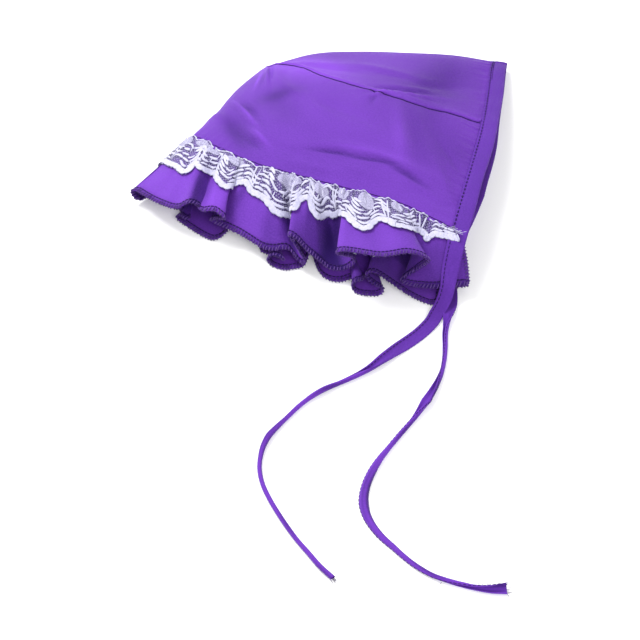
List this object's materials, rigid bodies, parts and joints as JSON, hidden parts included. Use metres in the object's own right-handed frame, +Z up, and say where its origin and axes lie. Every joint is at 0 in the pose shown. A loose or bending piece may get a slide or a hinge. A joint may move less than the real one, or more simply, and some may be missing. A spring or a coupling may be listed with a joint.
{
  "type": "dog sun hat",
  "caption": "Soft pet bonnet of thin cloth lying on its side, with a gathered ruffle and lace round the face opening, a bound neck edge and flat ties.",
  "frame": {"origin": "middle of the hat's own footprint on the surface it lies on, without the two ties", "axes": "+Z up from the surface; +X from the front of the head towards the neck edge; +Y from the face opening towards the crown"},
  "size_m": [0.21, 0.362, 0.0363],
  "materials": {
    "cloth": "purple plain-weave cloth with a slight sheen",
    "lace": "bluish white net lace with solid scallops",
    "binding": "folded strip of the same purple cloth"
  },
  "bodies": {
    "root": {"side_band": "cloth", "back_panel": "cloth", "face_ruffle": "cloth", "lace_trim": "lace", "neck_binding": "binding", "tie_upper": "binding", "tie_lower": "binding"}
  },
  "joints": []
}
